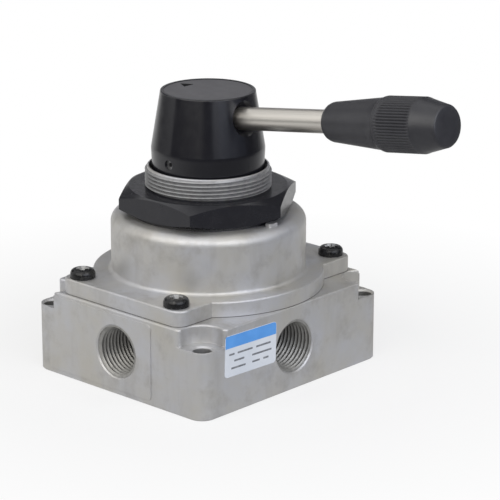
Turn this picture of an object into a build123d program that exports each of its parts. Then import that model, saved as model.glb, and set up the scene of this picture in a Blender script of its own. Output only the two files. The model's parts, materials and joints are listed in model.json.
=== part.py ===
from build123d import *
import math
import os

# Hand lever air valve: rotary slide valve with four threaded side ports, for panel mounting.
# Millimetres. +Z up, origin at the centre of the flat base. The lever points along +X
# in its middle position and swings 45 degrees each way about the vertical spindle.

# ---- valve body, a die-cast block ----
body_width = 92.0
body_depth = 103.0
body_height = 34.1
body_corner_radius = 6.0
body_edge_radius = 0.8
body_foot_chamfer = 0.4
pad_right = 18.8
pad_left = 38.0
pad_top = 32.6
pad_bottom = 2.0
pad_rise = 0.3
pad_corner_radius = 2.0

# corner ledges with the mounting holes
hole_inset = 5.0
mount_hole_radius = 3.5
mount_hole_chamfer = 0.8
pocket_radius = 8.2
pocket_exit_radius = 1.6
ledge_height = 27.1

# side ports, cut for a G1/2 pipe thread: the bore is the thread's root
port_height = 17.5
port_radius = 10.48
port_mouth_radius = 11.0
port_depth = 20.0
channel_radius = 7.5
channel_inner_end = 12.5

# seat: four passages rise from the ports to the seat plate
passage_circle = 19.0
passage_radius = 4.5
seal_ring_wire = 1.8
seal_ring_radius = 6.4
plate_radius = 29.0
plate_thickness = 4.0
dowel_radius = 1.5
dowel_circle = 25.5
dowel_depth = 4.0
dowel_cover = 1.0

# ---- bonnet: flange and drum, with the neck of the same casting as a piece of its own ----
flange_thickness = 6.3
flange_edge_radius = 0.7
flange_disc_radius = 45.8
lobe_half_width = 32.6
lobe_half_depth = 50.2
lobe_corner_radius = 5.0
drum_radius = 38.6
drum_top = 63.7
drum_shoulder_radius = 4.2
drum_foot_radius = 1.6
collar_root_radius = 24.08
collar_inner_radius = 23.3
collar_top = 82.3
collar_floor = 68.5
collar_edge_chamfer = 0.3
cavity_radius = 34.0
cavity_roof = 59.0
boss_radius = 21.5
boss_bottom = 55.5
key_inner = 32.2
key_outer = 35.0
key_width = 4.6
key_height = 1.3
key_corner_radius = 0.6
bonnet_seal_radius = 37.0
bonnet_seal_wire = 2.0

# cover screws, M5 pan heads through the lobes
screw_x = 25.6
screw_y = 44.4
screw_radius = 2.5
screw_clearance_radius = 2.75
screw_head_radius = 5.0
screw_head_height = 3.9
screw_head_rounding = 1.9
screw_length = 18.0
screw_hole_extra = 2.0

# ---- rotor: slide disc, spindle and what turns with them ----
disc_radius = 27.5
disc_thickness = 8.0
disc_edge_chamfer = 0.6
groove_width = 9.0
groove_depth = 3.5
groove_sweep = 104.0
spring_recess_radius = 10.4
spring_recess_depth = 4.0
pilot_radius = 4.0
pilot_gap = 0.8
lower_stem_radius = 5.0
drive_flange_radius = 23.0
drive_flange_bottom = 50.5
drive_flange_top = 54.0
journal_radius = 8.0
stem_radius = 6.0
stem_flat = 1.0
stem_top = 94.0
stem_chamfer = 0.6
drive_pin_radius = 2.0
drive_pin_circle = 14.0
drive_pin_bottom = 42.6
drive_pin_top = 52.8
running_clearance = 0.04
loose_clearance = 0.1
disc_spring_radius = 8.2
disc_spring_wire = 1.8
disc_spring_turns = 2.5
spindle_seal_wire = 1.8
spindle_seal_height = 62.0
bush_outer_radius = 10.0
washer_radius = 13.0

# detent: two spring-loaded balls over dimples at -45, 0 and +45 degrees
detent_circle = 16.0
ball_radius = 3.0
ball_hole_radius = 3.06
ball_hole_top = 66.5
ball_lift = 0.03
dimple_depth = 0.8
dimple_play = 0.1
detent_step = 45.0
detent_spring_radius = 2.1
detent_spring_wire = 0.7
detent_spring_turns = 5.0
detent_spring_gap = 0.02

# ---- panel nut, hexagon on the collar ----
nut_across_flats = 63.8
nut_turn = 2.7
nut_washer_radius = 30.5
nut_bottom = 64.7
nut_top = 74.1
nut_bore_radius = 24.12
nut_chamfer_radius = 31.2
nut_chamfer_angle = 25.0

# ---- knob and lever ----
knob_bottom = 70.5
knob_break_height = 89.5
knob_top = 112.3
knob_lower_radius = 22.4
knob_foot_radius = 21.5
knob_top_radius = 18.6
knob_edge_radius = 0.5
knob_crease_radius = 6.0
knob_hub_radius = 10.0
knob_well_radius = 17.0
knob_well_bottom = 76.5
knob_journal_bore = 9.0
cap_radius = 17.3
cap_thickness = 1.6
cap_sink = 0.25
set_screw_height = 86.0
set_screw_radius = 2.0
set_screw_length = 16.0
set_screw_socket_radius = 1.0
set_screw_socket_depth = 2.0
lever_height = 101.1
lever_tilt = 8.3
rod_radius = 4.5
rod_start = -6.0
rod_end = 108.0
rod_chamfer = 0.6
rod_mouth_station = 17.6
rod_mouth_depth = 4.0

# hand grip, stations measured along the lever from the spindle axis
grip_start = 64.3
grip_nose_radius = 5.6
grip_neck = 68.0
grip_neck_radius = 7.7
grip_cone_end = 91.0
grip_cone_radius = 9.8
grip_band_start = 92.2
grip_band_radius = 10.4
grip_band_end = 109.4
grip_tail_radius = 8.1
grip_tail = 118.2
grip_end = 119.6
grip_end_radius = 7.2
grip_rounding = 0.3
flute_count = 56
flute_radius = 0.42
flute_length = 15.6

# rating label on the +X side of the body
label_low = (-39.4, 14.5)
label_high = (-10.9, 31.0)
label_thickness = 0.2
label_corner_radius = 1.4
label_tilt = -1.5


def polar(radius, degrees, height=0.0):
    turn = math.radians(degrees)
    return (radius * math.cos(turn), radius * math.sin(turn), height)


def upright(radius, bottom, top, x=0.0, y=0.0):
    """A solid cylinder along Z between two heights."""
    return Pos(x, y, bottom) * extrude(Circle(radius), top - bottom)


def tube(inner, outer, bottom, top):
    """A ring of rectangular section round the spindle axis."""
    return Pos(0, 0, bottom) * extrude(Circle(outer) - Circle(inner), top - bottom)


def ring(radius, wire, height, x=0.0, y=0.0):
    """An O-ring lying flat, centred at the given height."""
    return Pos(x, y, height) * Torus(radius, wire / 2)


def coil(radius, wire, turns, bottom, top):
    """A compression spring standing between two faces."""
    rise = (top - bottom - wire) / turns
    path = Helix(pitch=rise, height=rise * turns, radius=radius)
    section = Plane(origin=path @ 0, z_dir=path % 0) * Circle(wire / 2)
    return Pos(0, 0, bottom + wire / 2) * sweep(section, path=path, is_frenet=True)


def corner_points(half_x, half_y):
    return [(sx * half_x, sy * half_y) for sx in (-1, 1) for sy in (-1, 1)]


def side_cut(turn, reach, radius, depth):
    """A round cut that enters one side of the body and runs towards the middle."""
    drill = extrude(Circle(radius), -depth)
    return Rot(0, 0, turn) * Pos(reach, 0, port_height) * Rot(0, 90, 0) * drill


def port_cut(turn, reach):
    """Threaded bore, mouth chamfer, cored channel and the passage up to the seat."""
    bore = side_cut(turn, reach, port_radius, port_depth)
    channel = side_cut(turn, reach, channel_radius, reach - channel_inner_end)
    chamfer_depth = port_mouth_radius - port_radius
    flare = Cone(port_radius, port_mouth_radius, chamfer_depth,
                 align=(Align.CENTER, Align.CENTER, Align.MAX))
    mouth = Rot(0, 0, turn) * Pos(reach, 0, port_height) * Rot(0, 90, 0) * flare
    x, y, _ = polar(passage_circle, turn)
    passage = upright(passage_radius, port_height, body_height, x, y)
    ring_outer = seal_ring_radius + seal_ring_wire / 2
    counterbore = upright(ring_outer, body_height - seal_ring_wire, body_height, x, y)
    return bore + channel + mouth + passage + counterbore


def make_valve_body():
    block = extrude(RectangleRounded(body_width, body_depth, body_corner_radius), body_height)
    pad_length = pad_right + pad_left
    pad_middle = (pad_right - pad_left) / 2
    for side in (-1, 1):
        pad = Box(pad_length, 2 * pad_rise, pad_top - pad_bottom)
        pad = fillet(pad.edges().filter_by(Axis.Y), pad_corner_radius)
        block += Pos(-side * pad_middle, side * body_depth / 2, (pad_top + pad_bottom) / 2) * pad
    half_x = body_width / 2 - hole_inset
    half_y = body_depth / 2 - hole_inset
    for x, y in corner_points(half_x, half_y):
        block -= upright(pocket_radius, ledge_height, body_height + 1, x, y)
    exits = block.edges().filter_by(Axis.Z).filter_by(
        lambda e: abs(e.length - (body_height - ledge_height)) < 0.01)
    block = fillet(exits, pocket_exit_radius)
    rim = block.edges().group_by(Axis.Z)[-1]
    block = fillet(rim, body_edge_radius)
    foot = block.edges().group_by(Axis.Z)[0]
    block = chamfer(foot, body_foot_chamfer)
    for x, y in corner_points(half_x, half_y):
        block -= upright(mount_hole_radius, -1, ledge_height + 1, x, y)
        flare = Cone(mount_hole_radius, mount_hole_radius + mount_hole_chamfer, mount_hole_chamfer,
                     align=(Align.CENTER, Align.CENTER, Align.MAX))
        block -= Pos(x, y, ledge_height) * flare
    screw_hole_bottom = body_height + flange_thickness - screw_length - screw_hole_extra
    for x, y in corner_points(screw_x, screw_y):
        block -= upright(screw_radius, screw_hole_bottom, body_height + 1, x, y)
    for turn, reach in port_sides():
        block -= port_cut(turn, reach)
    seal_groove = tube(bonnet_seal_radius - bonnet_seal_wire / 2,
                       bonnet_seal_radius + bonnet_seal_wire / 2,
                       body_height - bonnet_seal_wire, body_height)
    block -= seal_groove
    for turn in (45, 225):
        x, y, _ = polar(dowel_circle, turn)
        block -= upright(dowel_radius, body_height - dowel_depth, body_height, x, y)
    return block


def port_sides():
    """Each port's direction and the distance from the axis to its face."""
    front = body_depth / 2 + pad_rise
    return [(0, body_width / 2), (90, front), (180, body_width / 2), (270, front)]


def make_port_plate():
    top = body_height + plate_thickness
    plate = upright(plate_radius, body_height, top)
    for turn, _ in port_sides():
        x, y, _ = polar(passage_circle, turn)
        plate -= upright(passage_radius, body_height, top, x, y)
    plate -= upright(pilot_radius + running_clearance, body_height, top)
    for turn in (45, 225):
        x, y, _ = polar(dowel_circle, turn)
        plate -= upright(dowel_radius, body_height, top - dowel_cover, x, y)
    return plate


def make_port_seal_rings():
    height = body_height - seal_ring_wire / 2
    rings = []
    for turn, _ in port_sides():
        x, y, _ = polar(passage_circle, turn)
        rings.append(ring(seal_ring_radius, seal_ring_wire, height, x, y))
    return rings


def make_plate_dowels():
    pins = []
    for turn in (45, 225):
        x, y, _ = polar(dowel_circle, turn)
        bottom = body_height - dowel_depth
        top = body_height + plate_thickness - dowel_cover
        pins.append(upright(dowel_radius, bottom, top, x, y))
    return pins


def make_bonnet_seal():
    return ring(bonnet_seal_radius, bonnet_seal_wire, body_height - bonnet_seal_wire / 2)


def make_bonnet():
    flange_top = body_height + flange_thickness
    lobes = RectangleRounded(2 * lobe_half_width, 2 * lobe_half_depth, lobe_corner_radius)
    flange = extrude(lobes + Circle(flange_disc_radius), flange_thickness)
    bonnet = Pos(0, 0, body_height) * flange
    bonnet = fillet(bonnet.edges().group_by(Axis.Z)[-1], flange_edge_radius)
    bonnet += upright(drum_radius, flange_top - 1, drum_top)
    foot = bonnet.edges().filter_by(GeomType.CIRCLE).filter_by(
        lambda e: abs(e.radius - drum_radius) < 0.01 and abs(e.center().Z - flange_top) < 0.01)
    bonnet = fillet(foot, drum_foot_radius)
    shoulder = bonnet.edges().group_by(Axis.Z)[-1]
    bonnet = fillet(shoulder, drum_shoulder_radius)
    key = Box(key_outer - key_inner, key_width, 2 * key_height)
    key = fillet(key.edges().filter_by(Axis.Z), key_corner_radius)
    bonnet += Pos((key_inner + key_outer) / 2, 0, drum_top) * key
    bonnet -= upright(cavity_radius, body_height, cavity_roof)
    bonnet -= upright(collar_root_radius, body_height, drum_top + 1)
    for x, y in corner_points(screw_x, screw_y):
        bonnet -= upright(screw_clearance_radius, body_height - 1, flange_top + 1, x, y)
    return bonnet


def make_collar():
    """The casting's neck: panel collar above, bearing boss with the detent's bores below."""
    collar = upright(collar_root_radius, cavity_roof, collar_top)
    collar = chamfer(collar.edges().group_by(Axis.Z)[-1], collar_edge_chamfer)
    collar += upright(boss_radius, boss_bottom, cavity_roof + 1)
    collar -= upright(collar_inner_radius, collar_floor, collar_top + 1)
    collar -= upright(bush_outer_radius, boss_bottom - 1, collar_floor + 1)
    for side in (-1, 1):
        collar -= upright(ball_hole_radius, boss_bottom - 1, ball_hole_top, side * detent_circle)
    return collar


def make_cover_screws():
    seat = body_height + flange_thickness
    head = upright(screw_head_radius, seat, seat + screw_head_height)
    head = fillet(head.edges().group_by(Axis.Z)[-1], screw_head_rounding)
    screw = head + upright(screw_radius, seat - screw_length, seat)
    return [Pos(x, y, 0) * screw for x, y in corner_points(screw_x, screw_y)]


def make_rotor_disc():
    bottom = body_height + plate_thickness
    top = bottom + disc_thickness
    disc = upright(disc_radius, bottom, top)
    disc = chamfer(disc.edges().group_by(Axis.Z)[-1], disc_edge_chamfer)
    for middle in (0, 180):
        start = middle - groove_sweep / 2
        path = CenterArc((0, 0), passage_circle, start, groove_sweep)
        groove = SlotArc(path, groove_width)
        disc -= Pos(0, 0, bottom) * extrude(groove, groove_depth)
    disc -= upright(lower_stem_radius + loose_clearance, bottom, top)
    disc -= upright(spring_recess_radius, top - spring_recess_depth, top)
    for side in (-1, 1):
        disc -= upright(drive_pin_radius, drive_pin_bottom, top, 0, side * drive_pin_circle)
    return disc


def make_disc_spring():
    bottom = body_height + plate_thickness + disc_thickness - spring_recess_depth
    return coil(disc_spring_radius, disc_spring_wire, disc_spring_turns, bottom, drive_flange_bottom)


def make_spindle():
    plate_top = body_height + plate_thickness
    spindle = upright(pilot_radius, body_height + pilot_gap, plate_top)
    spindle += upright(lower_stem_radius, plate_top + loose_clearance, drive_flange_bottom)
    spindle += upright(pilot_radius, plate_top - 1, drive_flange_bottom)
    spindle += upright(drive_flange_radius, drive_flange_bottom, drive_flange_top)
    spindle += upright(journal_radius, drive_flange_top, collar_floor + 1)
    spindle += upright(stem_radius, collar_floor, stem_top)
    spindle = chamfer(spindle.edges().group_by(Axis.Z)[-1], stem_chamfer)
    half_wire = spindle_seal_wire / 2
    spindle -= tube(journal_radius - spindle_seal_wire, journal_radius + 1,
                    spindle_seal_height - half_wire, spindle_seal_height + half_wire)
    flat_box = Box(2 * stem_radius, stem_flat, stem_top - knob_well_bottom,
                   align=(Align.CENTER, Align.MIN, Align.MIN))
    spindle -= Pos(0, -stem_radius, knob_well_bottom) * flat_box
    dimple_radius = ball_radius + dimple_play
    dimple_centre = drive_flange_top + dimple_radius - dimple_depth - ball_lift
    for side in (0, 180):
        for step in (-detent_step, 0, detent_step):
            place = Pos(*polar(detent_circle, side + step, dimple_centre))
            spindle -= place * Sphere(dimple_radius)
    for side in (-1, 1):
        spindle -= upright(drive_pin_radius, drive_flange_bottom, drive_pin_top,
                           0, side * drive_pin_circle)
    return spindle


def make_drive_pins():
    return [upright(drive_pin_radius, drive_pin_bottom, drive_pin_top, 0, side * drive_pin_circle)
            for side in (-1, 1)]


def make_spindle_seal():
    return ring(journal_radius - spindle_seal_wire / 2, spindle_seal_wire, spindle_seal_height)


def make_spindle_bush():
    return tube(journal_radius + running_clearance, bush_outer_radius, boss_bottom, collar_floor)


def make_thrust_washer():
    return tube(journal_radius + loose_clearance, washer_radius,
                drive_flange_top + running_clearance, boss_bottom)


def ball_height():
    """Height of the ball centres with the balls lifted clear of the drive flange."""
    return drive_flange_top + ball_lift + ball_radius


def make_detent_balls():
    return [Pos(side * detent_circle, 0, ball_height()) * Sphere(ball_radius)
            for side in (-1, 1)]


def make_detent_springs():
    half_wire = detent_spring_wire / 2
    reach = ball_radius + half_wire
    seat_rise = math.sqrt(reach ** 2 - detent_spring_radius ** 2) - half_wire
    bottom = ball_height() + seat_rise + detent_spring_gap
    spring = coil(detent_spring_radius, detent_spring_wire, detent_spring_turns,
                  bottom, ball_hole_top)
    return [Pos(side * detent_circle, 0, 0) * spring for side in (-1, 1)]


def make_panel_nut():
    hexagon = RegularPolygon(nut_across_flats / 2, 6, major_radius=False, rotation=nut_turn)
    prism = Pos(0, 0, nut_bottom) * extrude(hexagon, nut_top - nut_bottom)
    reach = nut_across_flats
    slope = math.tan(math.radians(nut_chamfer_angle))
    drop = (reach - nut_chamfer_radius) * slope
    outline = Polyline(
        (0, nut_top), (nut_chamfer_radius, nut_top), (reach, nut_top - drop),
        (reach, nut_bottom + drop), (nut_chamfer_radius, nut_bottom), (0, nut_bottom), close=True)
    envelope = revolve(Plane.XZ * make_face(outline), Axis.Z)
    nut = prism & envelope
    nut += upright(nut_washer_radius, drum_top, nut_bottom + 1)
    nut -= upright(nut_bore_radius, drum_top - 1, nut_top + 1)
    return nut


def lever_frame(station):
    """A place on the lever's axis, with its local Z running out along the lever."""
    return Pos(0, 0, lever_height) * Rot(0, 90 - lever_tilt, 0) * Pos(0, 0, station)


def make_knob():
    outline = Polyline(
        (0, knob_bottom), (knob_foot_radius, knob_bottom), (knob_lower_radius, knob_break_height),
        (knob_top_radius, knob_top), (0, knob_top), close=True)
    knob = revolve(Plane.XZ * make_face(outline), Axis.Z)
    crease = knob.edges().filter_by(GeomType.CIRCLE).filter_by(
        lambda e: abs(e.center().Z - knob_break_height) < 0.01)
    knob = fillet(crease, knob_crease_radius)
    knob = fillet(knob.edges().group_by(Axis.Z)[-1], knob_edge_radius)
    knob -= tube(knob_hub_radius, knob_well_radius, knob_bottom, knob_well_bottom)
    cap_bottom = knob_top - cap_sink - cap_thickness
    knob -= upright(cap_radius, cap_bottom, knob_top + 1)
    knob -= upright(knob_journal_bore, knob_bottom, knob_well_bottom)
    knob -= upright(stem_radius, knob_bottom, stem_top) & flatted_stem()
    knob -= lever_frame(rod_start) * extrude(Circle(rod_radius), rod_end)
    mouth = Cone(rod_radius, rod_radius + rod_mouth_depth, rod_mouth_depth,
                 align=(Align.CENTER, Align.CENTER, Align.MIN))
    knob -= lever_frame(rod_mouth_station) * mouth
    hole_start = stem_radius - stem_flat
    screw_hole = extrude(Circle(set_screw_radius), knob_lower_radius)
    knob -= Pos(0, -hole_start, set_screw_height) * Rot(90, 0, 0) * screw_hole
    return knob


def flatted_stem():
    """The D-shaped space that the stem's flat leaves in the knob."""
    size = 4 * stem_radius
    block = Box(size, size, stem_top, align=(Align.CENTER, Align.MIN, Align.MIN))
    return Pos(0, -stem_radius + stem_flat, 0) * block


def make_knob_cap():
    top = knob_top - cap_sink
    return upright(cap_radius, top - cap_thickness, top)


def make_knob_set_screw():
    screw = extrude(Circle(set_screw_radius), set_screw_length)
    socket = extrude(RegularPolygon(set_screw_socket_radius, 6), set_screw_socket_depth)
    screw -= Pos(0, 0, set_screw_length - set_screw_socket_depth) * socket
    return Pos(0, -stem_radius + stem_flat, set_screw_height) * Rot(90, 0, 0) * screw


def make_lever_rod():
    rod = extrude(Circle(rod_radius), rod_end - rod_start)
    rod = chamfer(rod.edges().group_by(Axis.Z)[-1], rod_chamfer)
    return lever_frame(rod_start) * rod


def make_grip():
    with BuildSketch(Plane.XZ) as section:
        with BuildLine():
            Polyline((0, grip_tail), (0, grip_start), (grip_nose_radius, grip_start))
            Bezier((grip_nose_radius, grip_start), (grip_neck_radius - grip_rounding, grip_start),
                   (grip_neck_radius, grip_neck))
            Polyline((grip_neck_radius, grip_neck), (grip_cone_radius, grip_cone_end),
                     (grip_band_radius, grip_band_start), (grip_band_radius, grip_band_end),
                     (grip_tail_radius, grip_tail))
            Bezier((grip_tail_radius, grip_tail), (grip_tail_radius - grip_rounding, grip_end),
                   (grip_end_radius, grip_end))
            Polyline((grip_end_radius, grip_end), (0, grip_end), (0, grip_tail))
        make_face()
    grip = revolve(section.sketch, Axis.Z)
    flute_bottom = grip_band_end - flute_length
    groove = Pos(grip_band_radius, 0, flute_bottom) * extrude(Circle(flute_radius), flute_length)
    grooves = [Rot(0, 0, 360 * k / flute_count) * groove for k in range(flute_count)]
    grip -= grooves
    grip -= upright(rod_radius, grip_start - 1, rod_end)
    return Pos(0, 0, lever_height) * Rot(0, 90 - lever_tilt, 0) * grip


def make_rating_label():
    width = label_high[0] - label_low[0]
    height = label_high[1] - label_low[1]
    plate = extrude(RectangleRounded(width, height, label_corner_radius), label_thickness)
    middle = (body_width / 2, (label_low[0] + label_high[0]) / 2,
              (label_low[1] + label_high[1]) / 2)
    face = Plane(origin=middle, x_dir=(0, 1, 0), z_dir=(1, 0, 0))
    return face * Rot(0, 0, label_tilt) * plate


makers = {
    "valve_body": make_valve_body,
    "port_seal_rings": make_port_seal_rings,
    "port_plate": make_port_plate,
    "plate_dowels": make_plate_dowels,
    "bonnet_seal": make_bonnet_seal,
    "bonnet": make_bonnet,
    "collar": make_collar,
    "cover_screws": make_cover_screws,
    "rotor_disc": make_rotor_disc,
    "disc_spring": make_disc_spring,
    "spindle": make_spindle,
    "drive_pins": make_drive_pins,
    "spindle_seal": make_spindle_seal,
    "spindle_bush": make_spindle_bush,
    "thrust_washer": make_thrust_washer,
    "detent_balls": make_detent_balls,
    "detent_springs": make_detent_springs,
    "panel_nut": make_panel_nut,
    "knob": make_knob,
    "knob_cap": make_knob_cap,
    "knob_set_screw": make_knob_set_screw,
    "lever_rod": make_lever_rod,
    "grip": make_grip,
    "rating_label": make_rating_label,
}

os.makedirs("parts", exist_ok=True)
for name, make in makers.items():
    shape = make()
    solids = []
    for piece in (shape if isinstance(shape, list) else [shape]):
        solids.extend(piece.solids())
    export_step(Compound(children=solids), f"parts/{name}.step")
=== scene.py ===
import json
import math

import bmesh
import bpy
from mathutils import Matrix, Vector


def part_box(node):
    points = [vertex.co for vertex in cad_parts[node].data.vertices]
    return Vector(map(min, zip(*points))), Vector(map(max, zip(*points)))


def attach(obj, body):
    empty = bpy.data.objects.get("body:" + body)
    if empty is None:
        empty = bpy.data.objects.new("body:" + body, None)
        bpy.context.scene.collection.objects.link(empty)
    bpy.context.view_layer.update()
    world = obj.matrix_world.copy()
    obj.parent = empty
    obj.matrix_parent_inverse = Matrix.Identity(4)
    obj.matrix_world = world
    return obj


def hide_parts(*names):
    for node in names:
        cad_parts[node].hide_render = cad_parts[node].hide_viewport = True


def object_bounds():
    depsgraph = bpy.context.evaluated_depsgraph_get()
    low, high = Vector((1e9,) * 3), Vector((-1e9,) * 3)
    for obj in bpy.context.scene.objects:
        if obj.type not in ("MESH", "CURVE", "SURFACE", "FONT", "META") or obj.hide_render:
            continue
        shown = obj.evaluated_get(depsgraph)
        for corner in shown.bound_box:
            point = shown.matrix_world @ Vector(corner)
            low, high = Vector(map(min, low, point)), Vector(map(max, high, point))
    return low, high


# Looks of the hand lever air valve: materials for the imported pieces, and the fine forms that
# the solids leave out, such as threads, screw heads, the grip's flutes and the label's print.
# Metres, unless a name or a comment says millimetres. +Z up, the lever points along +X.

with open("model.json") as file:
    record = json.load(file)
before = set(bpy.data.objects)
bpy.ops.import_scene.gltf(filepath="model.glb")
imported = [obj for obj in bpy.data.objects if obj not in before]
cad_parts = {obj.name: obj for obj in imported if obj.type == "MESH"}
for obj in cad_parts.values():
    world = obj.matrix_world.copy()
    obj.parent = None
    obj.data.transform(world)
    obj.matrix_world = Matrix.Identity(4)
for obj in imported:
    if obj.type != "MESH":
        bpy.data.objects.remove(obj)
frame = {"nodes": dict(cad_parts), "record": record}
cad_low, cad_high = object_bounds()

nodes = frame["nodes"]
mounts = {mount["name"]: mount for mount in frame["record"]["mounts"]}
MM = 0.001

# ---- camera: azimuth, elevation and roll of the view in degrees, distance and offsets ----
CAMERA_AZIMUTH = 42.76
CAMERA_ELEVATION = 17.43
CAMERA_ROLL = 0.1
CAMERA_DISTANCE = 0.9625
CAMERA_AIM_HEIGHT = 0.0506
CAMERA_OFFSET_RIGHT = 0.01642
CAMERA_OFFSET_UP = -0.00363
CAMERA_LENS = 175.0
CAMERA_SENSOR = 36.0
CAMERA_NEAR = 0.05
CAMERA_FAR = 20.0

# ---- threads: pitch, radii of root and crest, steps in a turn; a port's root is its mount's ----
PORT_PITCH = 1.814 * MM
PORT_CREST = 9.35 * MM
PORT_STEPS = 72
COLLAR_PITCH = 1.5 * MM
COLLAR_ROOT = 24.08 * MM
COLLAR_CREST = 24.95 * MM
COLLAR_STEPS = 144
THREAD_SINK = 0.25 * MM
THREAD_RUN_OUT = 0.35

# ---- cover screws: pan heads with a cross recess, and how far each is turned, in degrees ----
HEAD_RADIUS = 5.0 * MM
HEAD_HEIGHT = 3.9 * MM
HEAD_CROWN = 0.45 * MM
HEAD_SHOULDER = 1.6 * MM
HEAD_RIM = 1.4 * MM
HEAD_FOOT = 0.15 * MM
SHANK_RADIUS = 2.4 * MM
SHANK_LENGTH = 17.5 * MM
RECESS_REACH = 2.9 * MM
RECESS_DEPTH = 1.9 * MM
RECESS_FLOOR_HALF = 0.6 * MM
RECESS_TOP_HALF = 1.15 * MM
RECESS_OVERCUT = 0.3 * MM
SCREW_TURNS = (40.0, 12.0, 44.0, 60.0)

# ---- the body's mounting holes, with painted shade inside ----
MOUNT_HOLE = (41.0 * MM, 46.5 * MM, 0.0)
MOUNT_HOLE_RADIUS = 3.55 * MM
MOUNT_HOLE_EASE = 0.15 * MM
MOUNT_HOLE_SHADE = 0.5

# ---- lever and grip: the grip's radii and its stations along the lever are in millimetres ----
LEVER_HEIGHT = 101.1 * MM
LEVER_TILT = math.radians(8.3)
GRIP_BORE = 4.5
GRIP_BORE_END = 76.0
GRIP_BACK = 64.3
GRIP_BACK_RADIUS = 5.6
GRIP_BACK_OUTWARD = 2.1
GRIP_BACK_FORWARD = 3.7
GRIP_CONE = ((7.7, 68.0), (9.8, 91.0))
GRIP_STEP = ((9.95, 91.4), (10.3, 92.0))
GRIP_BAND = ((10.4, 92.5), (10.4, 109.4))
GRIP_NOSE_STEP = (10.3, 109.8)
GRIP_NOSE = ((10.1, 110.2), (8.1, 118.2))
GRIP_TIP = ((7.95, 118.9), (7.6, 119.4), (7.1, 119.6), (4.0, 119.6), (0.001, 119.6))
FLUTES = 56
FLUTE_DEPTH = 0.42
FLUTE_START = 93.2
FLUTE_END = 109.4
FLUTE_RUN_OUT = 0.9
FLUTE_STEPS = 10

# ---- label: its print, and the pointer on the cap ----
LABEL_TILT = math.radians(-1.5)
LABEL_WIDTH = 28.5 * MM
LABEL_HEIGHT = 16.5 * MM
BAND_HEIGHT = 4.9 * MM
BAND_INSET = 0.15 * MM
BAND_CORNERS = (0.05 * MM, 0.05 * MM, 1.3 * MM, 0.4 * MM)
BAND_DEPTH = 0.02 * MM
BAR_HEIGHT = 0.75 * MM
BAR_CORNER = 0.2 * MM
BAR_DEPTH = 0.015 * MM
# centre and length of each ruled bar, in millimetres from the label's middle
BARS = ((-10.6, 0.6, 3.0), (-3.2, 0.6, 8.4), (7.0, 0.6, 8.2), (-6.4, -2.2, 5.6),
        (6.2, -2.2, 11.0), (-6.8, -5.0, 8.0), (3.0, -5.0, 4.2), (8.6, -5.0, 3.0))
POINTER_TIP = 14.8 * MM
POINTER_BASE = 10.4 * MM
POINTER_HALF_WIDTH = 2.5 * MM
POINTER_DEPTH = 0.12 * MM
POINTER_SINK = 0.02 * MM

# ---- floor, and the white table that gloss and metal mirror, a glow of painted light seen only in reflections: bright round the valve and left ----
FLOOR_SIZE = 8.0
SHADE_START = 0.09
SHADE_END = 0.22
SHADE_LEVEL = 0.70
TABLE_MIDDLE = (-0.25, 0.15, 0.0)
TABLE_REACH = 0.60
TABLE_EASE = 0.15
TABLE_LEVEL = 0.78
TABLE_FAR = 0.15
TABLE_DIM_SIDE = (0.966, -0.26, 0.0)
TABLE_DIM_START = -0.10
TABLE_DIM_END = 0.20
TABLE_DIM = 0.35

# ---- studio: light from all round, cards seen in reflections only, and two soft lamps ----
WORLD_DIFFUSE = 0.50
CARD_RADIUS = 2.6
CARD_STEPS = 40
# name, first and last azimuth in degrees, bottom, top, colour
CARDS = (
    ("front_card", -37.0, 67.0, 0.0, 1.05, (0.07, 0.07, 0.075)),
    ("side_card", 67.0, 126.0, 0.0, 1.05, (0.28, 0.32, 0.42)),
    ("corner_card", 126.0, 150.0, 0.0, 1.2, (0.05, 0.05, 0.055)),
    ("back_sweep", 150.0, 236.0, 0.0, 1.0, (0.50, 0.50, 0.52)),
    ("back_dark", 150.0, 236.0, 1.0, 3.4, (0.10, 0.10, 0.105)),
    ("left_dark", 236.0, 285.0, 0.5, 1.9, (0.15, 0.15, 0.155)),
)
LAMP_AIM_HEIGHT = 0.06
# name, azimuth, elevation, distance, width and height, watts, colour
LAMPS = (
    ("key", 5.0, 32.0, 1.7, (1.8, 1.5), 13.0, (1.0, 0.975, 0.92)),
    ("fill", 80.0, 28.0, 1.8, (1.8, 1.4), 15.6, (0.88, 0.915, 1.0)),
)


# ------------------------------------------------------------------ mesh helpers
def add_object(name, data):
    made = bpy.data.objects.new(name, data)
    bpy.context.scene.collection.objects.link(made)
    return made


def smooth(piece, degrees):
    """Smooth shading with edges sharper than the angle kept crisp."""
    for polygon in piece.data.polygons:
        polygon.use_smooth = True
    piece.data.set_sharp_from_angle(angle=math.radians(degrees))


def mesh_piece(name, points, faces, degrees=35.0):
    """A piece of the visual model from points and faces, with its normals outward."""
    mesh = bpy.data.meshes.new(name)
    mesh.from_pydata([tuple(p) for p in points], [], faces)
    build = bmesh.new()
    build.from_mesh(mesh)
    bmesh.ops.remove_doubles(build, verts=build.verts, dist=1e-7)
    bmesh.ops.recalc_face_normals(build, faces=build.faces)
    build.to_mesh(mesh)
    build.free()
    piece = add_object(name, mesh)
    smooth(piece, degrees)
    return piece


def rings_to_mesh(rings):
    """Points and faces that join equal rings of points, with the end rings filled."""
    count = len(rings[0])
    points = [point for ring in rings for point in ring]
    faces = []
    for k in range(len(rings) - 1):
        here, there = k * count, (k + 1) * count
        for i in range(count):
            j = (i + 1) % count
            faces.append((here + i, here + j, there + j, there + i))
    faces.append(tuple(range(count)))
    faces.append(tuple(range((len(rings) - 1) * count, len(rings) * count)))
    return points, faces


def on_circle(radius, turn, height):
    return Vector((radius * math.cos(turn), radius * math.sin(turn), height))


def lathe(outline, segments):
    """Rings of points for an outline of (radius, height) turned about Z."""
    turns = [2 * math.pi * k / segments for k in range(segments)]
    return [[on_circle(radius, turn, height) for turn in turns] for radius, height in outline]


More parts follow.
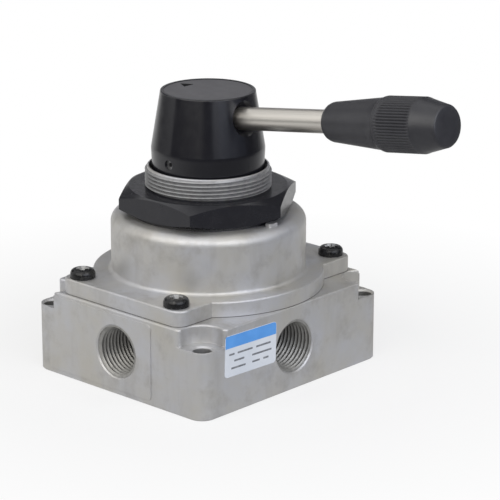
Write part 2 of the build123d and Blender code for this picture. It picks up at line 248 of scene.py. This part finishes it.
def stretch(start, end, steps):
    """Evenly spaced points from start, itself left out, to end."""
    return [tuple(a + (b - a) * k / steps for a, b in zip(start, end))
            for k in range(1, steps + 1)]


def place_all(points, matrix):
    return [matrix @ Vector(point) for point in points]


def facing(position, axis):
    """A frame at the position whose local Z points along the axis."""
    turn = Vector(axis).to_track_quat("Z", "Y").to_matrix().to_4x4()
    return Matrix.Translation(Vector(position)) @ turn


# ------------------------------------------------------------------ material helpers
class Surface:
    """A node material with its Principled shader and a few short ways to add detail."""

    def __init__(self, name, color, roughness, metallic=0.0, specular=None):
        self.material = bpy.data.materials.new(name)
        self.material.use_nodes = True
        self.tree = self.material.node_tree
        self.shader = self.tree.nodes["Principled BSDF"]
        self.shader.inputs["Base Color"].default_value = (*color, 1.0)
        self.shader.inputs["Roughness"].default_value = roughness
        self.shader.inputs["Metallic"].default_value = metallic
        if specular is not None:
            self.shader.inputs["Specular IOR Level"].default_value = specular
        self.relief = None
        self.place = self.node("ShaderNodeTexCoord").outputs["Object"]

    def node(self, kind, **settings):
        made = self.tree.nodes.new(kind)
        for key, value in settings.items():
            setattr(made, key, value)
        return made

    def link(self, source, target):
        self.tree.links.new(source, target)

    def stretched(self, x, y, z, turn=(0.0, 0.0, 0.0)):
        """The object's coordinates, turned and then scaled along each axis."""
        turned_place = self.node("ShaderNodeMapping")
        turned_place.inputs["Rotation"].default_value = turn
        self.link(self.place, turned_place.inputs["Vector"])
        mapping = self.node("ShaderNodeMapping")
        mapping.inputs["Scale"].default_value = (x, y, z)
        self.link(turned_place.outputs["Vector"], mapping.inputs["Vector"])
        return mapping.outputs["Vector"]

    def noise(self, scale, detail, place=None, roughness=0.55):
        texture = self.node("ShaderNodeTexNoise")
        texture.inputs["Scale"].default_value = scale
        texture.inputs["Detail"].default_value = detail
        texture.inputs["Roughness"].default_value = roughness
        self.link(place or self.place, texture.inputs["Vector"])
        return texture.outputs["Fac"]

    def spread(self, value, low, high, new_low=0.0, new_high=1.0):
        """Maps the range low to high onto the new range, and holds it outside."""
        mapper = self.node("ShaderNodeMapRange")
        for socket, number in zip(("From Min", "From Max", "To Min", "To Max"),
                                  (low, high, new_low, new_high)):
            mapper.inputs[socket].default_value = number
        self.link(value, mapper.inputs["Value"])
        return mapper.outputs["Result"]

    def combine(self, operation, first, second):
        made = self.node("ShaderNodeMath", operation=operation)
        self.link(first, made.inputs[0])
        self.link(second, made.inputs[1])
        return made.outputs["Value"]

    def vector(self, operation, source, second=None):
        made = self.node("ShaderNodeVectorMath", operation=operation)
        self.link(source, made.inputs[0])
        if second is not None:
            made.inputs[1].default_value = second
        return made

    def distance(self, centre):
        return self.vector("DISTANCE", self.place, centre).outputs["Value"]

    def along(self, direction):
        return self.vector("DOT_PRODUCT", self.place, direction).outputs["Value"]

    def near_axis(self, centre, radius, ease, amount):
        """High inside the four upright cylinders that mirror each other round the middle."""
        folded = self.vector("ABSOLUTE", self.place).outputs["Vector"]
        flat = self.vector("MULTIPLY", folded, (1.0, 1.0, 0.0)).outputs["Vector"]
        away = self.vector("DISTANCE", flat, centre).outputs["Value"]
        return self.spread(away, radius, radius + ease, amount, 0.0)

    def tint(self, value, color):
        """Mixes another colour over the present one where the value is high."""
        mix = self.node("ShaderNodeMix", data_type="RGBA")
        base = self.shader.inputs["Base Color"]
        if base.is_linked:
            self.link(base.links[0].from_socket, mix.inputs["A"])
        else:
            mix.inputs["A"].default_value = base.default_value
        mix.inputs["B"].default_value = (*color, 1.0)
        self.link(value, mix.inputs["Factor"])
        self.link(mix.outputs["Result"], base)

    def mottle(self, color, scale, detail, low=0.4, high=0.7, amount=1.0, roughness=0.55):
        """Patches of another colour."""
        patches = self.noise(scale, detail, roughness=roughness)
        self.tint(self.spread(patches, low, high, 0.0, amount), color)

    def vary_roughness(self, value, low, high):
        self.link(self.spread(value, 0.3, 0.7, low, high), self.shader.inputs["Roughness"])

    def soften_edges(self, radius):
        """Shades sharp edges as if they were rounded."""
        rounding = self.node("ShaderNodeBevel", samples=4)
        rounding.inputs["Radius"].default_value = radius
        self.relief = rounding.outputs["Normal"]

    def bump(self, value, depth, strength):
        """Adds a layer of relief over the present one."""
        layer = self.node("ShaderNodeBump")
        layer.inputs["Strength"].default_value = strength
        layer.inputs["Distance"].default_value = depth
        self.link(value, layer.inputs["Height"])
        if self.relief:
            self.link(self.relief, layer.inputs["Normal"])
        self.relief = layer.outputs["Normal"]
        self.link(self.relief, self.shader.inputs["Normal"])


def scaled(color, share):
    return tuple(share * channel for channel in color)


# ------------------------------------------------------------------ materials
def cast_aluminium(name):
    """Shot-blasted die casting: fine grain, cloudy patches, smudges and softly broken edges."""
    cast = Surface(name, (0.53, 0.515, 0.48), 0.46, metallic=0.68)
    cast.soften_edges(0.35 * MM)
    cast.mottle((0.545, 0.55, 0.575), 42.0, 4.0, 0.36, 0.64)
    cast.mottle((0.37, 0.355, 0.335), 70.0, 6.0, 0.52, 0.74, amount=0.75, roughness=0.65)
    runs = cast.noise(1.0, 4.0, place=cast.stretched(170.0, 170.0, 28.0))
    cast.tint(cast.spread(runs, 0.55, 0.78, 0.0, 0.45), (0.40, 0.39, 0.38))
    cast.vary_roughness(cast.noise(320.0, 4.0), 0.42, 0.54)
    cast.bump(cast.noise(120.0, 4.0), 0.09 * MM, 0.8)
    cast.bump(cast.noise(1500.0, 2.0), 0.035 * MM, 0.8)
    return cast


def darken_joint(cast, height, depth):
    """Shadow and grime in the joint just above a height."""
    axes = cast.node("ShaderNodeSeparateXYZ")
    cast.link(cast.place, axes.inputs["Vector"])
    line = cast.spread(axes.outputs["Z"], height + 0.4 * depth, height + depth, 0.8, 0.0)
    cast.tint(line, (0.05, 0.048, 0.045))


def black_coat():
    """Satin black coat of the nut."""
    coat = Surface("nut_black_coat", (0.011, 0.011, 0.015), 0.22)
    coat.mottle((0.015, 0.015, 0.019), 240.0, 4.0, 0.4, 0.75)
    coat.vary_roughness(coat.noise(420.0, 3.0), 0.18, 0.28)
    coat.bump(coat.noise(1300.0, 2.0), 0.012 * MM, 0.5)
    return coat.material


def knob_plastic():
    gloss = Surface("knob_gloss_black", (0.009, 0.009, 0.012), 0.20)
    gloss.mottle((0.012, 0.012, 0.015), 90.0, 3.0, 0.45, 0.75)
    gloss.vary_roughness(gloss.noise(300.0, 3.0), 0.16, 0.24)
    gloss.bump(gloss.noise(700.0, 2.0), 0.006 * MM, 0.5)
    return gloss.material


def cap_plastic():
    matte = Surface("cap_matte_grey", (0.100, 0.099, 0.107), 0.62)
    matte.mottle((0.118, 0.117, 0.125), 170.0, 4.0)
    matte.bump(matte.noise(2200.0, 2.0), 0.02 * MM, 0.7)
    return matte.material


def mark_ink():
    ink = Surface("mark_black_ink", (0.007, 0.007, 0.008), 0.85, specular=0.1)
    ink.mottle((0.012, 0.012, 0.013), 800.0, 3.0)
    return ink.material


def grip_plastic():
    matte = Surface("grip_charcoal", (0.025, 0.025, 0.030), 0.42)
    matte.mottle((0.032, 0.032, 0.037), 120.0, 4.0)
    matte.vary_roughness(matte.noise(260.0, 3.0), 0.34, 0.46)
    matte.bump(matte.noise(1700.0, 2.0), 0.02 * MM, 0.7)
    return matte.material


def brushed_steel():
    """Stainless rod with a fine lengthwise polish."""
    steel = Surface("rod_stainless", (0.72, 0.69, 0.64), 0.34, metallic=1.0)
    lengthwise = steel.stretched(12.0, 1400.0, 1400.0, turn=(0.0, LEVER_TILT, 0.0))
    streaks = steel.noise(1.0, 3.0, place=lengthwise)
    steel.tint(steel.spread(streaks, 0.35, 0.75), (0.64, 0.61, 0.56))
    steel.vary_roughness(streaks, 0.30, 0.38)
    steel.bump(streaks, 0.002 * MM, 0.4)
    return steel.material


def thread_metal(name, color):
    """Cut thread, with darker specks."""
    metal = Surface(name, color, 0.46, metallic=0.7)
    metal.mottle(scaled(color, 0.72), 500.0, 4.0, 0.45, 0.75)
    metal.bump(metal.noise(1400.0, 2.0), 0.01 * MM, 0.5)
    return metal.material


def screw_black():
    """Black oxide over steel, with lighter specks: partly rubbed wear, partly painted glints."""
    oxide = Surface("screw_black_oxide", (0.010, 0.010, 0.011), 0.24, metallic=0.35)
    # lighter specks: partly wear, partly painted glints
    oxide.mottle((0.08, 0.078, 0.074), 700.0, 4.0, 0.56, 0.76)
    oxide.vary_roughness(oxide.noise(500.0, 3.0), 0.20, 0.36)
    oxide.bump(oxide.noise(900.0, 3.0), 0.05 * MM, 0.8)
    return oxide.material


def label_film():
    film = Surface("label_film", (0.63, 0.66, 0.71), 0.38)
    film.mottle((0.55, 0.59, 0.65), 60.0, 3.0)
    film.bump(film.noise(900.0, 2.0), 0.004 * MM, 0.5)
    return film.material


def blue_ink():
    ink = Surface("label_blue_ink", (0.075, 0.28, 0.68), 0.36)
    ink.mottle((0.09, 0.31, 0.73), 160.0, 3.0)
    ink.bump(ink.noise(900.0, 2.0), 0.003 * MM, 0.5)
    return ink.material


def grey_ink():
    ink = Surface("label_grey_ink", (0.13, 0.14, 0.16), 0.45)
    ink.mottle((0.24, 0.25, 0.27), 900.0, 3.0)
    return ink.material


def rubber():
    seal = Surface("seal_rubber", (0.02, 0.02, 0.022), 0.55)
    seal.bump(seal.noise(1200.0, 2.0), 0.01 * MM, 0.5)
    return seal.material


def turned(name, color, roughness, metallic):
    """Small pieces, turned or moulded, mostly inside."""
    inner = Surface(name, color, roughness, metallic=metallic)
    inner.mottle(scaled(color, 0.85), 300.0, 3.0)
    inner.bump(inner.noise(900.0, 2.0), 0.01 * MM, 0.4)
    return inner.material


def dress(name, surface):
    """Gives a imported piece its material."""
    piece = nodes[name]
    piece.data.materials.clear()
    piece.data.materials.append(surface)
    smooth(piece, 28.0)


def finish_piece(piece, surface, body):
    """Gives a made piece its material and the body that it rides."""
    piece.data.materials.append(surface)
    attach(piece, body)


# ------------------------------------------------------------------ threads
def thread(name, root, crest, pitch, start, end, mouth, matrix, steps):
    """A closed helical ridge, run out at both ends and cut off level at the mouth."""
    turns = (end - start) / pitch
    count = int(turns * steps)
    sink = THREAD_SINK if crest < root else -THREAD_SINK
    half_base = 0.49 * pitch
    half_crest = 0.10 * pitch
    rings = []
    for k in range(count + 1):
        share = k / count
        turn = 2 * math.pi * turns * share
        middle = start + (end - start) * share
        swell = min(1.0, min(share, 1.0 - share) * turns / THREAD_RUN_OUT)
        top = root + (crest - root) * swell
        shoulder = root + (top - root) * 0.86
        profile = [(root + sink, -half_base), (root, -half_base), (shoulder, -half_crest),
                   (top, 0.0), (shoulder, half_crest), (root, half_base),
                   (root + sink, half_base)]
        rings.append([on_circle(radius, turn, min(middle + rise, mouth))
                      for radius, rise in profile])
    points, faces = rings_to_mesh(rings)
    return mesh_piece(name, place_all(points, matrix), faces, 50.0)


def port_threads(surface):
    for port in ("port_front", "port_right", "port_rear", "port_left"):
        mount = mounts[port]
        length = mount["dims"]["length_mm"] * MM
        root = mount["dims"]["r_mm"] * MM
        ridge = thread(port + "_thread", root, PORT_CREST, PORT_PITCH,
                       -length / 2 + PORT_PITCH * 0.6, length / 2 + PORT_PITCH * 0.3,
                       length / 2, facing(mount["pos_m"], mount["axis"]), PORT_STEPS)
        finish_piece(ridge, surface, "housing")


def collar_thread(surface):
    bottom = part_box("panel_nut")[1].z - 2.2 * COLLAR_PITCH
    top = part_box("collar")[1].z - 0.55 * COLLAR_PITCH
    ridge = thread("collar_thread", COLLAR_ROOT, COLLAR_CREST, COLLAR_PITCH, bottom, top,
                   top + COLLAR_PITCH / 2, Matrix.Identity(4), COLLAR_STEPS)
    finish_piece(ridge, surface, "housing")


# ------------------------------------------------------------------ cover screws
def screw_mesh():
    """Pan head on its shank, with the seat of the head at height 0."""
    outline = [(0.0, -SHANK_LENGTH), (SHANK_RADIUS, -SHANK_LENGTH), (SHANK_RADIUS, 0.0),
               (HEAD_RADIUS - HEAD_FOOT, 0.0), (HEAD_RADIUS, HEAD_FOOT),
               (HEAD_RADIUS, HEAD_RIM)]
    side = HEAD_HEIGHT - HEAD_CROWN - HEAD_RIM
    for k in range(1, 9):
        turn = math.radians(90.0 * k / 8)
        outline.append((HEAD_RADIUS - HEAD_SHOULDER * (1 - math.cos(turn)),
                        HEAD_RIM + side * math.sin(turn)))
    top_radius = HEAD_RADIUS - HEAD_SHOULDER
    for k in range(1, 6):
        rest = 1 - k / 5
        outline.append((top_radius * rest + 1e-6,
                        HEAD_HEIGHT - HEAD_CROWN + HEAD_CROWN * (1 - rest ** 2)))
    return rings_to_mesh(lathe(outline, 64))


def recess_tools():
    """The two crossing blades that cut the recess, wider towards the top."""
    levels = ((0.5 * RECESS_REACH, RECESS_FLOOR_HALF, HEAD_HEIGHT - RECESS_DEPTH),
              (RECESS_REACH, RECESS_TOP_HALF, HEAD_HEIGHT + RECESS_OVERCUT))
    tools = []
    for degrees in (0, 90):
        turn = Matrix.Rotation(math.radians(degrees), 4, "Z")
        rings = []
        for half_x, half_y, height in levels:
            corners = [(-half_x, -half_y), (half_x, -half_y), (half_x, half_y), (-half_x, half_y)]
            rings.append([turn @ Vector((x, y, height)) for x, y in corners])
        tools.append(rings_to_mesh(rings))
    return tools


def cut(piece, tool):
    """Cuts the tool out of the piece; the new faces keep the tool's own surface."""
    modifier = piece.modifiers.new("cut", "BOOLEAN")
    modifier.material_mode = "TRANSFER"
    modifier.operation = "DIFFERENCE"
    modifier.solver = "EXACT"
    modifier.object = tool
    depsgraph = bpy.context.evaluated_depsgraph_get()
    result = bpy.data.meshes.new_from_object(piece.evaluated_get(depsgraph))
    piece.modifiers.clear()
    piece.data = result
    bpy.data.objects.remove(tool)


def cover_screws(surface, recess_surface):
    """The four screws, each turned as it happened to be tightened."""
    low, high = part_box("cover_screws")
    seat = high.z - HEAD_HEIGHT
    spots = [(x, y) for x in (low.x + HEAD_RADIUS, high.x - HEAD_RADIUS)
             for y in (low.y + HEAD_RADIUS, high.y - HEAD_RADIUS)]
    for number, ((x, y), degrees) in enumerate(zip(spots, SCREW_TURNS), start=1):
        points, faces = screw_mesh()
        screw = mesh_piece(f"cover_screw_{number}", points, faces, 30.0)
        screw.data.materials.append(surface)
        for tool_points, tool_faces in recess_tools():
            tool = mesh_piece("recess_tool", tool_points, tool_faces)
            tool.data.materials.append(recess_surface)
            cut(screw, tool)
        smooth(screw, 30.0)
        turn = Matrix.Rotation(math.radians(degrees), 4, "Z")
        screw.data.transform(Matrix.Translation((x, y, seat)) @ turn)
        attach(screw, "housing")
        if number == 1:
            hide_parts("cover_screws")


# ------------------------------------------------------------------ grip
def lever_matrix():
    """A frame on the lever's pivot whose local Z points along the lever."""
    return (Matrix.Translation((0.0, 0.0, LEVER_HEIGHT))
            @ Matrix.Rotation(math.pi / 2 - LEVER_TILT, 4, "Y"))


def grip_outline():
    """Radius and station along the lever, in millimetres, from the inner hole to the end face."""
    outline = [(GRIP_BORE, GRIP_BORE_END), (GRIP_BORE, GRIP_BACK), (GRIP_BACK_RADIUS, GRIP_BACK)]
    for degrees in range(15, 91, 15):
        turn = math.radians(degrees)
        outline.append((GRIP_BACK_RADIUS + GRIP_BACK_OUTWARD * math.sin(turn),
                        GRIP_CONE[0][1] - GRIP_BACK_FORWARD * math.cos(turn)))
    outline += stretch(*GRIP_CONE, 8)
    outline += [*GRIP_STEP, GRIP_BAND[0]]
    outline += stretch(*GRIP_BAND, 24)
    outline += [GRIP_NOSE_STEP, GRIP_NOSE[0]]
    outline += stretch(*GRIP_NOSE, 5)
    outline += GRIP_TIP
    return outline


def grip(surface):
    """The hand grip with fine axial flutes round its widest band."""
    turns = [2 * math.pi * k / (FLUTES * FLUTE_STEPS) for k in range(FLUTES * FLUTE_STEPS)]
    rings = []
    for radius, station in grip_outline():
        reach = min((station - FLUTE_START) / FLUTE_RUN_OUT, (FLUTE_END - station) / FLUTE_RUN_OUT)
        depth = FLUTE_DEPTH * max(0.0, min(1.0, reach))
        ring = []
        for turn in turns:
            wave = 0.5 + 0.5 * math.cos(turn * FLUTES)
            ring.append(on_circle((radius - depth * wave ** 2.0) * MM, turn, station * MM))
        rings.append(ring)
    points, faces = rings_to_mesh(rings)
    piece = mesh_piece("grip_moulding", place_all(points, lever_matrix()), faces, 40.0)
    finish_piece(piece, surface, "rotor")
    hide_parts("grip")


# ------------------------------------------------------------------ label and marks
def plate(name, corners, depth, matrix):
    """A thin closed plate over an outline."""
    rings = [[Vector((x, y, height)) for x, y in corners] for height in (0.0, depth)]
    points, faces = rings_to_mesh(rings)
    return mesh_piece(name, place_all(points, matrix), faces)


def rounded(width, height, radii, steps):
    """Outline of a rectangle centred at the origin, a radius for each corner from lower left."""
    outline = []
    corners = ((-1, -1, 180), (1, -1, 270), (1, 1, 0), (-1, 1, 90))
    for (side_x, side_y, start), radius in zip(corners, radii):
        centre_x = side_x * (width / 2 - radius)
        centre_y = side_y * (height / 2 - radius)
        for k in range(steps + 1):
            turn = math.radians(start + 90 * k / steps)
            outline.append((centre_x + radius * math.cos(turn), centre_y + radius * math.sin(turn)))
    return outline


def label_print(blue, grey):
    """A blue band and plain ruled bars on the film: no words."""
    low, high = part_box("rating_label")
    face = Matrix((
        (0, 0, 1, high.x),
        (1, 0, 0, (low.y + high.y) / 2),
        (0, 1, 0, (low.z + high.z) / 2),
        (0, 0, 0, 1))) @ Matrix.Rotation(LABEL_TILT, 4, "Z")
    rise = LABEL_HEIGHT / 2 - BAND_HEIGHT / 2 - BAND_INSET
    outline = rounded(LABEL_WIDTH - 2 * BAND_INSET, BAND_HEIGHT, BAND_CORNERS, 6)
    band = plate("label_band", outline, BAND_DEPTH, face @ Matrix.Translation((0, rise, 0)))
    finish_piece(band, blue, "housing")
    for number, (x, y, length) in enumerate(BARS, start=1):
        outline = rounded(length * MM, BAR_HEIGHT, (BAR_CORNER,) * 4, 3)
        bar = plate(f"label_bar_{number}", outline, BAR_DEPTH,
                    face @ Matrix.Translation((x * MM, y * MM, 0)))
        finish_piece(bar, grey, "housing")


def pointer_mark(surface):
    """A small triangle on the cap that points away from the lever."""
    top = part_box("knob_cap")[1].z
    corners = [(-POINTER_TIP, 0.0), (-POINTER_BASE, -POINTER_HALF_WIDTH),
               (-POINTER_BASE, POINTER_HALF_WIDTH)]
    mark = plate("pointer_mark", corners, POINTER_DEPTH,
                 Matrix.Translation((0, 0, top - POINTER_SINK)))
    finish_piece(mark, surface, "rotor")


# ------------------------------------------------------------------ stage, lights and camera
def floor_surface():
    """White to the camera with a faint shade round the valve; in reflections only, a glowing table
    of painted light, bright round the valve and dimmer to one side.
    """
    white = Surface("floor_white", (0.90, 0.90, 0.90), 0.9, specular=0.0)
    white.mottle((0.88, 0.88, 0.885), 6.0, 2.0, 0.0, 1.0)
    rays = white.node("ShaderNodeLightPath")
    seen, mirrored = rays.outputs["Is Camera Ray"], rays.outputs["Is Glossy Ray"]
    # painted light: to glossy rays the floor glows like a lit table, brightest round the valve,
    # fading further out and towards one side
    near = white.spread(white.distance(TABLE_MIDDLE), TABLE_REACH - TABLE_EASE,
                        TABLE_REACH + TABLE_EASE, TABLE_LEVEL, TABLE_FAR)
    painted_side_light = white.spread(white.along(TABLE_DIM_SIDE), TABLE_DIM_START, TABLE_DIM_END,
                       1.0, TABLE_DIM)
    table = white.combine("MULTIPLY", near, painted_side_light)
    fade = white.spread(white.distance((0.0, 0.0, 0.0)), SHADE_START, SHADE_END,
                        SHADE_LEVEL, 1.0)
    glow = white.node("ShaderNodeEmission")
    glow.inputs["Color"].default_value = (1.0, 1.0, 1.0, 1.0)
    strength = white.combine("ADD", seen, white.combine("MULTIPLY", mirrored, table))
    white.link(strength, glow.inputs["Strength"])
    share = white.combine("ADD", mirrored, white.combine("MULTIPLY", seen, fade))
    blend = white.node("ShaderNodeMixShader")
    white.link(share, blend.inputs["Fac"])
    white.link(white.shader.outputs["BSDF"], blend.inputs[1])
    white.link(glow.outputs["Emission"], blend.inputs[2])
    white.link(blend.outputs["Shader"], white.tree.nodes["Material Output"].inputs["Surface"])
    return white.material


def make_floor():
    bpy.ops.mesh.primitive_plane_add(size=FLOOR_SIZE, location=(0.0, 0.0, cad_low.z))
    floor = bpy.context.object
    floor.name = "floor"
    floor.data.materials.append(floor_surface())


def make_world():
    """White to the camera and in reflections, and a dimmer light from all round on matte faces."""
    world = bpy.data.worlds.new("studio")
    bpy.context.scene.world = world
    world.use_nodes = True
    tree = world.node_tree
    background = tree.nodes["Background"]
    background.inputs["Color"].default_value = (1.0, 1.0, 1.0, 1.0)
    rays = tree.nodes.new("ShaderNodeLightPath")
    bright = rays.outputs["Is Camera Ray"]
    for kind in ("Is Transmission Ray", "Is Glossy Ray"):
        either = tree.nodes.new("ShaderNodeMath")
        either.operation = "MAXIMUM"
        tree.links.new(bright, either.inputs[0])
        tree.links.new(rays.outputs[kind], either.inputs[1])
        bright = either.outputs[0]
    level = tree.nodes.new("ShaderNodeMapRange")
    level.inputs["To Min"].default_value = WORLD_DIFFUSE
    level.inputs["To Max"].default_value = 1.0
    tree.links.new(bright, level.inputs["Value"])
    tree.links.new(level.outputs["Result"], background.inputs["Strength"])


def make_card(name, start, end, bottom, top, color):
    """A curved cloth card round the set, seen in reflections only: it gives gloss its contrast."""
    points, faces = [], []
    for k in range(CARD_STEPS + 1):
        turn = math.radians(start + (end - start) * k / CARD_STEPS)
        x, y = CARD_RADIUS * math.sin(turn), -CARD_RADIUS * math.cos(turn)
        points += [(x, y, bottom), (x, y, top)]
    for k in range(CARD_STEPS):
        faces.append((2 * k, 2 * k + 1, 2 * k + 3, 2 * k + 2))
    mesh = bpy.data.meshes.new(name)
    mesh.from_pydata(points, [], faces)
    card = add_object(name, mesh)
    cloth = Surface(name + "_cloth", color, 1.0, specular=0.0)
    cloth.tint(cloth.noise(3.0, 2.0), scaled(color, 1.3))
    card.data.materials.append(cloth.material)
    card.visible_camera = False
    card.visible_diffuse = False
    card.visible_transmission = False
    card.visible_shadow = False


def outward(azimuth, elevation):
    """Unit vector from the valve towards a viewer; azimuth 0 is in front, at -Y, and 90 at +X."""
    turn, lift = math.radians(azimuth), math.radians(elevation)
    return Vector((math.sin(turn) * math.cos(lift), -math.cos(turn) * math.cos(lift),
                   math.sin(lift)))


def soft_lamp(name, azimuth, elevation, distance, size, watts, color):
    """An area lamp aimed at the valve."""
    back = outward(azimuth, elevation)
    light = bpy.data.lights.new(name, "AREA")
    light.shape = "RECTANGLE"
    light.size, light.size_y = size
    light.energy = watts
    light.color = color
    lamp = add_object(name, light)
    lamp.location = Vector((0.0, 0.0, LAMP_AIM_HEIGHT)) + back * distance
    lamp.rotation_euler = (-back).to_track_quat("-Z", "Y").to_euler()


def make_camera():
    """The photograph's view: aimed at a point on the axis, then shifted and rolled a little."""
    back = outward(CAMERA_AZIMUTH, CAMERA_ELEVATION)
    turn, roll = math.radians(CAMERA_AZIMUTH), math.radians(CAMERA_ROLL)
    level_right = Vector((math.cos(turn), math.sin(turn), 0.0))
    level_up = back.cross(level_right)
    right = level_right * math.cos(roll) + level_up * math.sin(roll)
    up = level_up * math.cos(roll) - level_right * math.sin(roll)
    data = bpy.data.cameras.new("camera")
    data.lens = CAMERA_LENS
    data.sensor_width = CAMERA_SENSOR
    data.clip_start = CAMERA_NEAR
    data.clip_end = CAMERA_FAR
    camera = add_object("camera", data)
    place = (Vector((0.0, 0.0, CAMERA_AIM_HEIGHT)) + back * CAMERA_DISTANCE
             + right * CAMERA_OFFSET_RIGHT + up * CAMERA_OFFSET_UP)
    camera.matrix_world = Matrix((
        (right.x, up.x, back.x, place.x),
        (right.y, up.y, back.y, place.y),
        (right.z, up.z, back.z, place.z),
        (0.0, 0.0, 0.0, 1.0)))
    bpy.context.scene.camera = camera


# ------------------------------------------------------------------ the scene
body_casting = cast_aluminium("body_cast_aluminium")
# painted shade: the casting is darkened inside the four mounting holes
hole_shade = body_casting.near_axis(MOUNT_HOLE, MOUNT_HOLE_RADIUS, MOUNT_HOLE_EASE,
                                    MOUNT_HOLE_SHADE)
body_casting.tint(hole_shade, (0.06, 0.057, 0.053))
bonnet_casting = cast_aluminium("bonnet_cast_aluminium")
darken_joint(bonnet_casting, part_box("valve_body")[1].z, 0.35 * MM)
spring_wire = turned("spring_wire", (0.40, 0.40, 0.42), 0.35, 1.0)
ground_steel = turned("ground_steel", (0.52, 0.52, 0.53), 0.30, 1.0)
seals = rubber()

dress("valve_body", body_casting.material)
for casting in ("bonnet", "collar"):
    dress(casting, bonnet_casting.material)
dress("panel_nut", black_coat())
dress("knob", knob_plastic())
dress("knob_cap", cap_plastic())
dress("knob_set_screw", turned("set_screw_steel", (0.30, 0.30, 0.31), 0.35, 0.9))
dress("lever_rod", brushed_steel())
dress("rating_label", label_film())
for seal in ("port_seal_rings", "bonnet_seal", "spindle_seal"):
    dress(seal, seals)
dress("port_plate", turned("seat_plastic", (0.10, 0.095, 0.09), 0.35, 0.0))
dress("rotor_disc", turned("disc_acetal", (0.70, 0.68, 0.60), 0.38, 0.0))
dress("thrust_washer", turned("washer_acetal", (0.66, 0.64, 0.56), 0.40, 0.0))
dress("spindle_bush", turned("bush_bronze", (0.58, 0.40, 0.18), 0.30, 1.0))
for steel_piece in ("plate_dowels", "drive_pins", "spindle", "detent_balls"):
    dress(steel_piece, ground_steel)
for spring in ("disc_spring", "detent_springs"):
    dress(spring, spring_wire)

port_threads(thread_metal("cut_thread_aluminium", (0.34, 0.335, 0.32)))
collar_thread(thread_metal("worn_thread_aluminium", (0.35, 0.35, 0.355)))
# the recess faces take a lighter steel: partly wear, partly a painted highlight inside the cross
cover_screws(screw_black(), turned("recess_wear_and_glint_steel", (0.34, 0.34, 0.335), 0.40, 0.4))
grip(grip_plastic())
label_print(blue_ink(), grey_ink())
pointer_mark(mark_ink())

make_floor()
make_world()
for card_settings in CARDS:
    make_card(*card_settings)
for lamp_settings in LAMPS:
    soft_lamp(*lamp_settings)
make_camera()
bpy.context.scene.view_settings.view_transform = "Standard"
